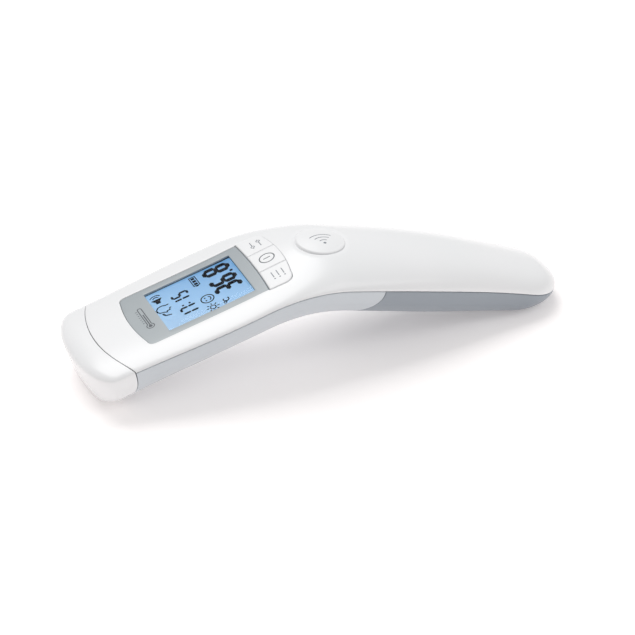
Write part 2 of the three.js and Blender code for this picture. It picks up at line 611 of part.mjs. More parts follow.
const cellProfile = [
  [0, 0], [CELL.nub, 0], [CELL.nub, CELL.nubLength], [CELL.radius - 0.4, CELL.nubLength],
  [CELL.radius, CELL.nubLength + 0.4], [CELL.radius, CELL.length], [0, CELL.length],
]
const nubAt = BAY.halfLength - CONTACT.clearance * 2 - CONTACT.thickness
const backwards = cellProfile.map(([radius, x]) => [radius, nubAt - x]).reverse()
const forwards = cellProfile.map(([radius, x]) => [radius, x - nubAt])
addPart('battery_1', lying(BAY.at, [CELL_PLACE.y, CELL_PLACE.h], forwards), cellSleeve)
addPart('battery_2', lying(BAY.at, [-CELL_PLACE.y, CELL_PLACE.h], backwards), cellSleeve)

class ConeCoil extends THREE.Curve {
  constructor(start, length, turns, wide, narrow) {
    super()
    Object.assign(this, { start, length, turns, wide, narrow })
  }

  getPoint(t, target = new THREE.Vector3()) {
    const radius = this.wide + (this.narrow - this.wide) * t
    const turn = 2 * Math.PI * this.turns * t
    return target.set(this.start + this.length * t, radius * Math.cos(turn), radius * Math.sin(turn))
  }
}

function coilSolid(y, start, length) {
  const wire = new THREE.Shape()
  wire.absellipse(0, 0, COIL.wire, COIL.wire, 0, 2 * Math.PI)
  const path = new ConeCoil(start, length, COIL.turns, COIL.wide, COIL.narrow)
  const options = { steps: 40, curveSegments: 3, bevelEnabled: false, extrudePath: path }
  const geometry = new THREE.ExtrudeGeometry(wire, options)
  geometry.translate(0, y, CELL_PLACE.h)
  return solidFrom(geometry, frameAt(BAY.at))
}

const plateOut = BAY.halfLength - CONTACT.clearance
const plateIn = plateOut - CONTACT.thickness
const plateHeights = [CELL_PLACE.h - 3.4, CELL_PLACE.h + 3.1]
const coilFoot = plateIn + 0.1
const headPlate = [-plateOut, -plateIn]
const tailPlate = [plateIn, plateOut]
addPart('contact_plus', box(BAY.at, headPlate, [CONTACT.edge, CONTACT.farEdge], plateHeights), steel)
addPart('contact_minus', box(BAY.at, headPlate, [-CONTACT.farEdge, -CONTACT.edge], plateHeights)
  .add(coilSolid(-CELL_PLACE.y, -coilFoot, COIL.length)), steel)
addPart('contact_bridge', box(BAY.at, tailPlate, centred(CONTACT.bridge), plateHeights)
  .add(coilSolid(CELL_PLACE.y, coilFoot, -COIL.length)), steel)

// --- Screws ---

// A pan-head screw from the face of its head to the tip of its shank.
function screwProfile(face, tip) {
  const neck = face + SCREW.headHeight
  return [
    [0, face], [SCREW.head, face], [SCREW.head, neck], [SCREW.shank, neck], [SCREW.shank, tip], [0, tip],
  ]
}

sides.forEach(([name, side]) => {
  const bayScrew = screwProfile(BAY_SCREWS.headLow, BAY_SCREWS.tip)
  addPart(`casing_screw_${name}`, bayScrewPiece(side, bayScrew, SCREW_STEPS), steel)
  const noseScrew = screwProfile(NOSE_FRONT + 0.4, NOSE_SCREWS.tip)
  addPart(`nose_screw_${name}`, noseScrewPiece(side, noseScrew, SCREW_STEPS), steel)
})

// The origin goes to the bottom centre of the whole wand.
const bounds = new THREE.Box3().setFromObject(model)
model.position.set(-(bounds.min.x + bounds.max.x) / 2, 0, -bounds.min.z)
const thermometer = new THREE.Group()
thermometer.add(model)

export default thermometer
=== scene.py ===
"""Looks of a non-contact infrared thermometer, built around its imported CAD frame."""

import json
import math

import bpy
import numpy as np
from mathutils import Matrix, Vector
from mathutils.geometry import delaunay_2d_cdt


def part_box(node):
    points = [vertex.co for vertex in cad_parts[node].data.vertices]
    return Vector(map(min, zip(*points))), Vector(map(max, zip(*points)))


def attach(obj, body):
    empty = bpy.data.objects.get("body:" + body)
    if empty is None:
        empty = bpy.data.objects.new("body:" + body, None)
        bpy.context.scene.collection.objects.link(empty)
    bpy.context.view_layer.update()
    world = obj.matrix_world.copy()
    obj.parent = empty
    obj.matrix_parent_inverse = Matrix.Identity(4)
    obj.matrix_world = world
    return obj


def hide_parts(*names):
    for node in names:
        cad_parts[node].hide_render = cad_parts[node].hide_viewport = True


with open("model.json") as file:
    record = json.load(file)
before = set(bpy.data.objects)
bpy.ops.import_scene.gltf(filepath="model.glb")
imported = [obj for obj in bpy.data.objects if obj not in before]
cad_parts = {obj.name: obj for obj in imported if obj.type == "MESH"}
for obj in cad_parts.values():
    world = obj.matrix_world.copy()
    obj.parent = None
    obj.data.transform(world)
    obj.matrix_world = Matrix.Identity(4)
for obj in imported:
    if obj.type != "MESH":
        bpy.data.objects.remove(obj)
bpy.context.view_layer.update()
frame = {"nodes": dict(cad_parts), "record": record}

# --- The body's form, in millimetres, as in the CAD part ---

MM = 0.001
BODY_LENGTH = 158.5
HEAD_LENGTH = 54.5
HEAD_SLOPE = math.radians(15.245)
BEND_RADIUS = 55.6
BEND_ANGLE = math.radians(29.3)
HANDLE_ANGLE = math.radians(6.2)
BEND_END = HEAD_LENGTH + BEND_RADIUS * BEND_ANGLE
HALF_WIDTH = [[0, 20.5], [12, 20.5], [47, 21.9], [81, 20], [109, 17.9], [135, 15], [158.5, 13.4]]
CROWN = [[0, 0.4], [50, 0.5], [60, 1], [70, 2.7], [83, 4.6], [119, 3.8], [158.5, 2]]
SHOULDER = [[0, 2.1], [20, 1.8], [55, 1.8], [81, 2.9], [119, 4], [158.5, 3]]
DEPTH = [[0, 12.8], [41, 10.9], [81, 11.1], [119, 11], [158.5, 7.8]]
SHOULDER_POWER = 5
BELLY_POWER = 3.2
BELLY_ROOT = 2.2
TIP_ROUND = {"side": 8, "top": 6, "bottom": 3}
TAIL_ROUND = {"side": 13, "top": 9, "bottom": 15}
TAIL_POWER = {"side": 2, "top": 2, "bottom": 1.5}
WALL = 1.6
# The lengths over which the skins under the surface are drawn in from each end
SKIN_PULL = {"tip": 16, "tail": 40}
PANEL = {"from": 26.2, "top": 0.95, "bottom": -0.95}

# Where the spine starts, from the display panel's place in the frame.
panel_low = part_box("lcd_panel")[0]
SPINE_X = (panel_low.x / MM - PANEL["from"] * math.cos(HEAD_SLOPE) + PANEL["top"] * math.sin(HEAD_SLOPE))
SPINE_Z = (panel_low.z / MM - PANEL["from"] * math.sin(HEAD_SLOPE) - PANEL["bottom"] * math.cos(HEAD_SLOPE))

# --- Details, in millimetres ---

SEAM = 0.1
CAP_SEAM = {"front": 8, "radius": 46}
COVER_SEAM = {"front": 81, "radius": 21}
SHELL_FILLET = 0.14
COVER_WALL = 1.5
CAP = {"half": 20.4, "wall": 1.3}

# Plans on the top. Front and back each give a corner's size and how far that edge bows.
WINDOW = {"from": 19.4, "to": 59.2, "half": 13.4, "front": (2.4, 1.2), "back": (0.4, 0.4)}
VIEW = {"from": 27.9, "to": 55.6, "half": 10.7, "front": (0.4, 0), "back": (0.4, 0)}
KEYS = {"from": 59.4, "to": 67.6, "half": 13.9, "front": (0.4, -0.4), "back": (3.6, 0.9)}
KEY_SPLIT = 4.8
KEY_GAP = 0.08
KEY_HEIGHT = 0.25
FAR = 99

# The display opening follows the window's outline, and from its back end on the keys'.
OPENING = {"gap": 0.12, "window_to": 58.6, "keys_from": 58.9, "keys_back": 62, "side": 0.2}

# Depths under the body's surface
BORDER = {"top": 0.2, "bottom": 0.78}
LENS = {"top": 0.26, "bottom": 0.42}
# The dark ring under the window border is painted shade: a dark sheet standing for the shadow in the
# display's recess.
PAINTED_SHADE_RING = {"top": 0.82, "bottom": 1.2}

SCAN = {"at": 79, "along": 7.2, "across": 7.7, "height": 0.5, "dome": 6, "spread": 1.75, "tilt": 0.1}
SCAN_EDGE = {"width": 0.1, "drop": 0.5, "underside": 4.6}
SCAN_GAP = 0.15
DISH = {"inner": 1.03, "reach": 1.24, "depth": 0.25}
GRIP = {"at": 102, "along": 4.6, "across": 7, "pitch": 1.8, "depth": 0.35}
BAY = {"at": 118.5, "half": 26.7, "inner": 10.95, "outer": 12.05, "top": 2.4, "end": 1.1}
BAY_POST = {"at": 95.2, "y": 13.9, "outer": 2.8, "counterbore": 2.1, "hole": 1.3,
            "low": -6.2, "seat": -3.6, "top": -2.6}
PRINT = {"over": 0.015, "under": 0.03}


def turn_along(x, z, slope, length, turn):
    """A place and slope moved on along an arc that turns down by an angle."""
    chord = length * np.sinc(turn / 2 / np.pi)
    direction = slope - turn / 2
    return x + chord * np.cos(direction), z + chord * np.sin(direction), slope - turn


def spine(s):
    """The spine's place and slope at a length along it."""
    head = np.minimum(s, HEAD_LENGTH)
    bend = np.clip(s - HEAD_LENGTH, 0, BEND_END - HEAD_LENGTH)
    handle = np.maximum(s - BEND_END, 0)
    x, z, slope = turn_along(SPINE_X, SPINE_Z, HEAD_SLOPE, head, 0 * head)
    x, z, slope = turn_along(x, z, slope, bend, bend / BEND_RADIUS)
    return turn_along(x, z, slope, handle, HANDLE_ANGLE * handle / (BODY_LENGTH - BEND_END))


def place(s, y, height):
    """Row-frame points, in millimetres, of places given along, across and over the spine."""
    s, y, height = np.broadcast_arrays(np.asarray(s, float), y, height)
    x, z, slope = spine(s)
    return np.stack([x - height * np.sin(slope), y, z + height * np.cos(slope)], -1)


def smooth(pairs, s):
    """A smooth curve through [s, size] pairs."""
    at, size = np.array(pairs, float).T
    last = len(at) - 1
    before = np.maximum(np.arange(last + 1) - 1, 0)
    after = np.minimum(np.arange(last + 1) + 1, last)
    slope = (size[after] - size[before]) / (at[after] - at[before])
    i = np.clip(np.searchsorted(at, s, side="right") - 1, 0, last - 1)
    span = at[i + 1] - at[i]
    t = np.clip((s - at[i]) / span, 0, 1)
    rise = t * t * (3 - 2 * t)
    start = (t**3 - 2 * t**2 + t) * span * slope[i]
    end = (t**3 - t**2) * span * slope[i + 1]
    return (1 - rise) * size[i] + rise * size[i + 1] + start + end


def round_end(distance, radius, power):
    """0 at a rounded end, rising to 1 one radius in."""
    t = np.clip(1 - distance / radius, 0, 1)
    return (1 - t**power) ** (1 / power)


def section(s, inset):
    """Half width, crown, shoulder and belly depth of the body's form, moved inwards by inset."""

    def ends(key, power):
        tip = round_end(s - inset, np.maximum(TIP_ROUND[key] - inset, 0.5), power)
        return tip * round_end(BODY_LENGTH - inset - s, TAIL_ROUND[key] - inset, TAIL_POWER[key])

    return (
        (smooth(HALF_WIDTH, s) - inset) * ends("side", 2.2),
        smooth(CROWN, s) * ends("top", 2),
        (smooth(SHOULDER, s) - inset) * ends("top", 2),
        (smooth(DEPTH, s) - inset) * ends("bottom", 2),
    )


def height_over(sizes, across, top):
    """The top's or the belly's height over the spine, at a share of the half width."""
    crown, shoulder, depth = sizes
    if top:
        return crown * (1 - across**2) + shoulder * np.sqrt(1 - np.abs(across) ** SHOULDER_POWER)
    return -depth * (1 - np.abs(across) ** BELLY_POWER) ** (1 / BELLY_ROOT)


def surface(s, across, depth, top):
    """Points of the body's outer form, or of that form moved inwards by depth."""
    s, across, depth = np.broadcast_arrays(*(np.asarray(v, float) for v in (s, across, depth)))
    tip_pull = np.clip(1 - s / SKIN_PULL["tip"], 0, 1) ** 2
    tail_pull = np.clip(1 - (BODY_LENGTH - s) / SKIN_PULL["tail"], 0, 1) ** 2
    moved = s + depth * (tip_pull - tail_pull)
    outer_width = section(s, 0)[0]
    width, *sizes = section(moved, depth)
    y = outer_width * across - (outer_width - width) * np.sign(across) * np.abs(across) ** 6
    share = np.clip(y / np.maximum(width, 1e-9), -1, 1)
    return place(moved, y, height_over(sizes, share, top))


class Side:
    """One side of the body laid out flat: a length along the spine, and one round the section."""

    def __init__(self, top):
        self.top = top
        self.s = np.linspace(0.02, BODY_LENGTH - 0.02, 500)
        turn = np.linspace(0, np.pi / 2, 97)
        width, *sizes = (size[:, None] for size in section(self.s, 0))
        y = width * np.sin(turn)
        rise = height_over(sizes, np.sin(turn)[None, :], top)
        arc = np.cumsum(np.hypot(np.diff(y), np.diff(rise)), 1)
        arc = np.hstack([np.zeros((len(self.s), 1)), arc])
        self.arc_limit = arc[:, -1]
        shares = np.linspace(0, 1, 97)
        self.turns = np.array([np.interp(shares * row[-1], row, turn) for row in arc])

    def limit(self, s):
        return np.interp(s, self.s, self.arc_limit)

    def across(self, s, arc):
        share = np.clip(np.abs(arc) / self.limit(s), 0, 1) * 96
        row = np.interp(s, self.s, np.arange(len(self.s)))
        i, j = np.minimum(row.astype(int), len(self.s) - 2), np.minimum(share.astype(int), 95)
        u, v = row - i, share - j
        turn = (
            (1 - u) * (1 - v) * self.turns[i, j] + (1 - u) * v * self.turns[i, j + 1]
            + u * (1 - v) * self.turns[i + 1, j] + u * v * self.turns[i + 1, j + 1]
        )
        return np.sign(arc) * np.sin(turn)

    def point(self, s, arc, depth):
        return surface(s, self.across(s, arc), depth, self.top)

    def seam(self, seam, gap):
        """A seam that bulges towards the tip, from -Y to +Y."""
        share = np.linspace(-1, 1, 81)
        s = np.full(81, float(seam["front"]))
        for _ in range(12):
            y = section(s, 0)[0] * self.across(s, share * self.limit(s))
            s = seam["front"] + gap + seam["radius"] - np.sqrt(seam["radius"] ** 2 - y**2)
        return np.column_stack([s, share * (self.limit(s) - SEAM)])

    def edge(self, start, end):
        """The +Y edge between two places, short of the seam between the casings."""
        s = np.linspace(start, end, int(abs(end - start) / 0.9) + 2)[1:-1]
        return np.column_stack([s, self.limit(s) - SEAM])

    def tail(self, start):
        """The edge from a place on the -Y side, round the tail, to the +Y side."""
        t = np.linspace(1, 0.035, 44)
        s = BODY_LENGTH - 30 * t**2
        near = np.concatenate([self.edge(start, s[0])[:, 0], s])
        half = np.column_stack([near, self.limit(near) - SEAM])
        return np.vstack([half * [1, -1], half[::-1]])


# --- Plans: closed outlines, counter-clockwise, as [along, across] points ---


def bowed_rectangle(spec, grow=0.0, low=-FAR, high=FAR):
    """A rounded rectangle whose front and back edges bow outwards, cut to a span across."""
    x0, x1, half = spec["from"] - grow, spec["to"] + grow, spec["half"] + grow
    (front_corner, front_bow), (back_corner, back_bow) = spec["front"], spec["back"]
    front, back = x0 + front_bow, x1 - back_bow
    knots = [
        [(front + front_corner, -half), (back - back_corner, -half)],
        [(back, -half), (back, -half + back_corner)],
        [(x1 + back_bow, 0), (back, half - back_corner)],
        [(back, half), (back - back_corner, half)],
        [(front + front_corner, half)],
        [(front, half), (front, half - front_corner)],
        [(x0 - front_bow, 0), (front, -half + front_corner)],
        [(front, -half), (front + front_corner, -half)],
    ]
    points = [np.array(knots[0][0], float)]
    for knot in [knots[0][1:], *knots[1:]]:
        start, end = points[-1], np.array(knot[-1], float)
        middle = np.array(knot[0], float) if len(knot) == 2 else (start + end) / 2
        count = max(4, int(np.linalg.norm(end - start) / 0.5))
        for t in np.linspace(0, 1, count + 1)[1:]:
            points.append((1 - t) ** 2 * start + 2 * t * (1 - t) * middle + t**2 * end)
    loop = np.array(points[:-1])
    for limit, way in ((low, 1), (high, -1)):
        loop = clipped(loop, limit, way)
    return even_loop(tidy_loop(loop), 0.5)


def clipped(loop, limit, way):
    """The part of a closed outline above a limit across, or below it where way is -1."""
    points = []
    for start, end in zip(loop, np.roll(loop, -1, 0)):
        before, after = (start[1] - limit) * way, (end[1] - limit) * way
        if before >= 0:
            points.append(start)
        if before * after < 0:
            points.append(start + (end - start) * before / (before - after))
    return np.array(points)


def tidy_loop(loop):
    """A closed outline without points that repeat."""
    keep = np.linalg.norm(loop - np.roll(loop, 1, 0), axis=1) > 1e-4
    return loop[keep]


def even_loop(loop, longest):
    """A closed outline with its long edges divided."""
    points = []
    for start, end in zip(loop, np.roll(loop, -1, 0)):
        count = max(1, int(np.ceil(np.linalg.norm(end - start) / longest)))
        points += [start + (end - start) * t for t in np.arange(count) / count]
    return np.array(points)


def ellipse(middle, along, across, count=72):
    """An oval outline."""
    turn = np.linspace(0, 2 * np.pi, count, endpoint=False)
    return np.column_stack([middle[0] + along * np.cos(turn), middle[1] + across * np.sin(turn)])


def offset(loop, distance):
    """The outline moved to its left, which is inwards on a counter-clockwise one."""
    step = np.roll(loop, -1, 0) - loop
    step /= np.linalg.norm(step, axis=1)[:, None]
    left = np.column_stack([-step[:, 1], step[:, 0]])
    before = np.roll(left, 1, 0)
    miter = (left + before) / np.maximum(1 + np.sum(left * before, 1), 0.3)[:, None]
    return loop + distance * miter


def inside(points, loop):
    """Which points lie inside an outline."""
    x, y = points[:, 0], points[:, 1]
    result = np.zeros(len(points), bool)
    for (x0, y0), (x1, y1) in zip(loop, np.roll(loop, -1, 0)):
        if y0 == y1:
            continue
        crosses = (y0 > y) != (y1 > y)
        result ^= crosses & (x < x0 + (y - y0) * (x1 - x0) / (y1 - y0))
    return result


def distance_to(points, loop):
    """How far points are from an outline."""
    nearest = np.full(len(points), np.inf)
    for start, end in zip(loop, np.roll(loop, -1, 0)):
        step = end - start
        t = np.clip((points - start) @ step / (step @ step), 0, 1)
        nearest = np.minimum(nearest, np.linalg.norm(points - start - t[:, None] * step, axis=1))
    return nearest


# --- Meshes ---

FILLET_STEPS = [0, 0.08, 0.3, 0.62, 1]
SMOOTH_ANGLE = math.radians(42)


def new_object(name, points, faces, material):
    """A smooth-shaded object from points in millimetres."""
    mesh = bpy.data.meshes.new(name)
    mesh.from_pydata((np.asarray(points) * MM).tolist(), [], faces)
    mesh.validate()
    mesh.materials.append(material)
    mesh.shade_smooth()
    mesh.set_sharp_from_angle(angle=SMOOTH_ANGLE)
    piece = bpy.data.objects.new(name, mesh)
    bpy.context.scene.collection.objects.link(piece)
    return piece


def add(piece, body, replaced=()):
    """Says what a piece rides on, and hides the CAD nodes it stands for."""
    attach(piece, body)
    if replaced:
        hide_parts(*replaced)
    return piece


def triangulate(loops, extra):
    """Triangles of a plan with holes. The first loop is its outside."""
    points = np.vstack([*loops[0], *(p for rows in loops[1:] for p in rows), extra])
    edges = []
    start = 0
    for rows in loops:
        for i, row in enumerate(rows):
            if i == 0:
                ring = range(start, start + len(row))
                edges += list(zip(ring, list(ring)[1:] + [start]))
            start += len(row)
    _, _, faces, origins, _, _ = delaunay_2d_cdt([Vector(p) for p in points], edges, [], 0, 1e-6)
    source = np.array([origin[0] for origin in origins])
    triangles = source[np.array(faces)]
    middles = points[triangles].mean(1)
    keep = inside(middles, loops[0][0])
    for rows in loops[1:]:
        keep &= ~inside(middles, rows[0])
    return points, triangles[keep]


def closed_shell(points, triangles, outer, inner):
    """Both skins of a plate and the walls round its edges, as points and faces."""
    count = len(points)
    faces = [tuple(t) for t in triangles] + [tuple(t[::-1] + count) for t in triangles]
    directed = {(t[i], t[(i + 1) % 3]) for t in triangles for i in range(3)}
    for a, b in sorted(directed):
        if (b, a) not in directed:
            faces.append((b, a, a + count, b + count))
    return np.vstack([outer, inner]), faces


def shell(name, side, outline, material, holes=(), top_at=0.0, bottom_at=WALL, fillet=0.2,
          step=1.3, depth=None, floor=None):
    """A plate that follows one side of the body, with rounded edges and holes."""
    loops = []
    drops = []
    for loop in [outline, *(hole[::-1] for hole in holes)]:
        rows = [offset(loop, fillet * share) for share in FILLET_STEPS]
        loops.append(rows)
        for share, row in zip(FILLET_STEPS, rows):
            drops.append(np.full(len(row), fillet * (1 - math.sqrt(1 - (1 - share) ** 2))))
    low, high = outline.min(0), outline.max(0)
    lines = np.arange(low[0] + step / 2, min(high[0], BODY_LENGTH - 14), step)
    if high[0] > BODY_LENGTH - 14:
        lines = np.concatenate([lines, BODY_LENGTH - 14 * np.linspace(0.97, 0.08, 20) ** 2])
    reach = side.limit(lines).max()
    count = int(2 * reach / step * 1.35)
    shares = np.sin(np.linspace(-0.995, 0.995, count) * np.pi / 2)
    s, share = np.meshgrid(lines, shares, indexing="ij")
    extra = np.column_stack([s.ravel(), (share * side.limit(s)).ravel()])
    extra = extra[(extra[:, 1] > low[1]) & (extra[:, 1] < high[1])]
    extra = extra[inside(extra, outline)]
    for loop in [outline, *holes]:
        extra = extra[distance_to(extra, loop) > fillet + 0.22]
    for hole in holes:
        extra = extra[~inside(extra, hole)]
    if depth is not None:
        extra = np.vstack([extra, *depth.rows])
    points, triangles = triangulate(loops, extra)
    drop = np.concatenate([*drops, np.zeros(len(extra))]) + top_at
    if depth is not None:
        drop = drop + depth.at(points)
    outer = side.point(points[:, 0], points[:, 1], drop)
    inner = side.point(points[:, 0], points[:, 1], bottom_at)
    if floor is not None:
        outer[:, 2] = np.maximum(outer[:, 2], floor)
    if not side.top:
        triangles = triangles[:, ::-1]
    return new_object(name, *closed_shell(points, triangles, outer, inner), material)


# --- Materials ---


GRAIN_SCALE = 900.0
ROUGHNESS_SPAN = (0.93, 1.07)


def link(tree, a, b):
    tree.links.new(a, b)


def new_material(name, low, high, roughness, scale=30.0, bump=0.05, **fixed):
    """A material whose colour and roughness drift a little, over a fine surface grain."""
    material = bpy.data.materials.new(name)
    material.use_nodes = True
    tree = material.node_tree
    shader = tree.nodes["Principled BSDF"]
    place_in = tree.nodes.new("ShaderNodeTexCoord").outputs["Object"]
    drift = tree.nodes.new("ShaderNodeTexNoise")
    drift.inputs["Scale"].default_value = scale
    drift.inputs["Detail"].default_value = 2.0
    link(tree, place_in, drift.inputs["Vector"])
    ramp = tree.nodes.new("ShaderNodeValToRGB")
    ramp.color_ramp.elements[0].position = 0.3
    ramp.color_ramp.elements[1].position = 0.7
    ramp.color_ramp.elements[0].color = (*low, 1)
    ramp.color_ramp.elements[1].color = (*high, 1)
    link(tree, drift.outputs["Fac"], ramp.inputs["Fac"])
    link(tree, ramp.outputs["Color"], shader.inputs["Base Color"])
    span = tree.nodes.new("ShaderNodeMapRange")
    span.inputs["To Min"].default_value = roughness * ROUGHNESS_SPAN[0]
    span.inputs["To Max"].default_value = roughness * ROUGHNESS_SPAN[1]
    link(tree, drift.outputs["Fac"], span.inputs["Value"])
    link(tree, span.outputs["Result"], shader.inputs["Roughness"])
    grain = tree.nodes.new("ShaderNodeTexNoise")
    grain.inputs["Scale"].default_value = GRAIN_SCALE
    link(tree, place_in, grain.inputs["Vector"])
    relief = tree.nodes.new("ShaderNodeBump")
    relief.inputs["Strength"].default_value = bump
    relief.inputs["Distance"].default_value = 0.0001
    link(tree, grain.outputs["Fac"], relief.inputs["Height"])
    link(tree, relief.outputs["Normal"], shader.inputs["Normal"])
    for key, value in fixed.items():
        shader.inputs[key.replace("_", " ")].default_value = value
    return material


def srgb(*levels):
    """A colour given in 0 to 255 steps, as linear light."""
    shares = [level / 255 for level in levels]
    return tuple(v / 12.92 if v <= 0.04045 else ((v + 0.055) / 1.055) ** 2.4 for v in shares)


gloss_white = new_material("gloss_white", srgb(237, 238, 239), srgb(240, 240, 241), 0.24, bump=0.02)
pale_grey = new_material("pale_grey", srgb(202, 207, 212), srgb(205, 210, 215), 0.28, bump=0.04)
blue_grey = new_material("blue_grey", srgb(148, 155, 163), srgb(152, 159, 167), 0.34, bump=0.06)
key_white = new_material("satin_white", srgb(236, 237, 238), srgb(239, 239, 240), 0.4, bump=0.06)
silver_film = new_material("silver_film", srgb(162, 169, 173), srgb(168, 175, 178), 0.3, bump=0.03)
print_grey = new_material("grey_print", srgb(126, 131, 138), srgb(136, 141, 147), 0.5, bump=0.05)
print_dark = new_material("dark_print", srgb(80, 85, 92), srgb(90, 95, 101), 0.5, bump=0.05)
crystal_dark = new_material("dark_crystal", srgb(4, 8, 20), srgb(8, 13, 28), 0.6, bump=0.02,
                            Specular_IOR_Level=0.1)
frost = new_material("frosted_white", (0.78, 0.81, 0.84), (0.84, 0.87, 0.9), 0.55, bump=0.1)
rubber = new_material("silicone_grey", (0.2, 0.21, 0.22), (0.25, 0.26, 0.28), 0.8, bump=0.2)
board = new_material("board_green", (0.008, 0.1, 0.045), (0.012, 0.15, 0.07), 0.4, scale=300, bump=0.15)
chip = new_material("chip_black", (0.012, 0.012, 0.014), (0.025, 0.025, 0.028), 0.5, bump=0.25)
amber = new_material("film_amber", (0.35, 0.12, 0.02), (0.45, 0.17, 0.03), 0.35, bump=0.05)
sleeve = new_material("cell_sleeve", (0.02, 0.024, 0.03), (0.03, 0.036, 0.045), 0.3, bump=0.03)
steel = new_material("bright_steel", (0.5, 0.51, 0.52), (0.62, 0.63, 0.64), 0.28, bump=0.1, Metallic=1.0)
gold = new_material("gold_plate", (0.68, 0.44, 0.13), (0.78, 0.53, 0.18), 0.25, bump=0.08, Metallic=1.0)
dark_glass = new_material("dark_filter", (0.01, 0.008, 0.016), (0.018, 0.014, 0.024), 0.08, bump=0.01)
clear_lens = new_material("clear_lens", (0.96, 0.98, 1.0), (1.0, 1.0, 1.0), 0.03, bump=0.0,
                          Transmission_Weight=1.0, IOR=1.12)


def lit_display():
    """The backlit panel: paler at the near front corner, deeper at the far back one."""
    material = new_material("lit_display", (0.02, 0.05, 0.1), (0.03, 0.06, 0.12), 0.4, bump=0.01)
    tree = material.node_tree
    shader = tree.nodes["Principled BSDF"]
    place_in = tree.nodes["Texture Coordinate"].outputs["Object"]
    axes = tree.nodes.new("ShaderNodeSeparateXYZ")
    link(tree, place_in, axes.inputs["Vector"])
    low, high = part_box("lcd_panel")
    shares = []
    for axis, start, end in (("X", low.x, high.x), ("Y", low.y, high.y)):
        share = tree.nodes.new("ShaderNodeMapRange")
        share.inputs["From Min"].default_value = start
        share.inputs["From Max"].default_value = end
        link(tree, axes.outputs[axis], share.inputs["Value"])
        shares.append(share.outputs["Result"])
    blend = tree.nodes.new("ShaderNodeMath")
    blend.operation = "MULTIPLY_ADD"
    blend.inputs[1].default_value = 0.45
    link(tree, shares[0], blend.inputs[0])
    far = tree.nodes.new("ShaderNodeMath")
    far.operation = "MULTIPLY"
    far.inputs[1].default_value = 0.55
    link(tree, shares[1], far.inputs[0])
    link(tree, far.outputs[0], blend.inputs[2])
    glow = tree.nodes.new("ShaderNodeValToRGB")
    stops = [(0.1, srgb(164, 198, 228)), (0.45, srgb(148, 190, 226)), (0.85, srgb(108, 160, 206))]
    glow.color_ramp.elements[0].position, glow.color_ramp.elements[0].color = stops[0][0], (*stops[0][1], 1)
    glow.color_ramp.elements[1].position, glow.color_ramp.elements[1].color = stops[2][0], (*stops[2][1], 1)
    middle = glow.color_ramp.elements.new(stops[1][0])
    middle.color = (*stops[1][1], 1)
    link(tree, blend.outputs[0], glow.inputs["Fac"])
    link(tree, glow.outputs["Color"], shader.inputs["Emission Color"])
    shader.inputs["Emission Strength"].default_value = 0.9
    return material


# --- Casings, cover and cap ---

top = Side(True)
belly = Side(False)
SCAN_TOP = float(height_over(section(np.array(float(SCAN["at"])), 0)[1:], 0.0, True))
stretch = 1 + SCAN_TOP / BEND_RADIUS
scan_along = SCAN["along"] / stretch


class ScanDish:
    """The shallow ring-shaped hollow round the scan button."""

    rows = [
        ellipse((SCAN["at"], 0), scan_along * reach, SCAN["across"] * reach, 60)
        for reach in (1.08, 1.14, 1.2, 1.26, 1.32)
    ]

    @staticmethod
    def at(points):
        reach = np.hypot((points[:, 0] - SCAN["at"]) / scan_along, points[:, 1] / SCAN["across"])
        t = np.clip((DISH["reach"] - reach) / (DISH["reach"] - DISH["inner"]), 0, 1)
        return DISH["depth"] * t * t * (3 - 2 * t)


class ThumbGrip:
    """Shallow cross grooves on the cover's belly, for the thumb that slides it off."""

    rows = [
        np.column_stack([np.full(31, s), np.linspace(-7.5, 7.5, 31)])
        for s in np.arange(97, 107.2, 0.3)
    ]

    @staticmethod
    def at(points):
        along = (points[:, 0] - GRIP["at"]) / GRIP["along"]
        across = points[:, 1] / GRIP["across"]
        fade = np.clip(1.25 * (1 - along**4 - across**4), 0, 1)
        wave = 0.5 - 0.5 * np.cos(2 * np.pi * (points[:, 0] - GRIP["at"]) / GRIP["pitch"])
        return GRIP["depth"] * fade * wave


def round_tail(side, seam):
    """The outline from a seam back round the tail."""
    front = side.seam(seam, SEAM)
    return np.vstack([front[::-1], side.tail(front[0, 0])])


def between(side, first, second):
    """The outline between two seams."""
    front, back = side.seam(first, SEAM), side.seam(second, -SEAM)
    near = side.edge(front[0, 0], back[0, 0]) * [1, -1]
    far = side.edge(back[-1, 0], front[-1, 0])
    return np.vstack([front[::-1], near, back, far])


def display_opening():
    """One opening for the window and the keys behind it."""
    window = bowed_rectangle(WINDOW, OPENING["gap"])
    keys = bowed_rectangle(KEYS, OPENING["gap"])
    on_side = np.abs(keys[:, 1]) > KEYS["half"] - OPENING["side"]
    keep_keys = on_side & (keys[:, 0] > OPENING["keys_from"]) | (keys[:, 0] > OPENING["keys_back"])
    keep_window = window[:, 0] < OPENING["window_to"]
    parts = []
    for loop, keep in ((keys, keep_keys), (window, keep_window)):
        start = int(np.argmax(keep & ~np.roll(keep, 1)))
        parts.append(np.roll(loop, -start, 0)[np.roll(keep, -start)])
    return np.vstack(parts)


scan_opening = ellipse((SCAN["at"], 0), scan_along + SCAN_GAP, SCAN["across"] + SCAN_GAP)
top_holes = [display_opening(), scan_opening]
top_shell = shell("top_shell", top, round_tail(top, CAP_SEAM), gloss_white, top_holes,
                  fillet=SHELL_FILLET, depth=ScanDish)
add(top_shell, "casing", ["top_casing"])
lower_shell = shell("lower_shell", belly, between(belly, CAP_SEAM, COVER_SEAM), pale_grey,
                    fillet=SHELL_FILLET, step=1.5)
add(lower_shell, "casing", ["bottom_casing"])
cover = shell("cover_shell", belly, round_tail(belly, COVER_SEAM), blue_grey,
              bottom_at=COVER_WALL, fillet=SHELL_FILLET, step=1.5, depth=ThumbGrip, floor=0.0)
add(cover, "cover", ["battery_cover"])


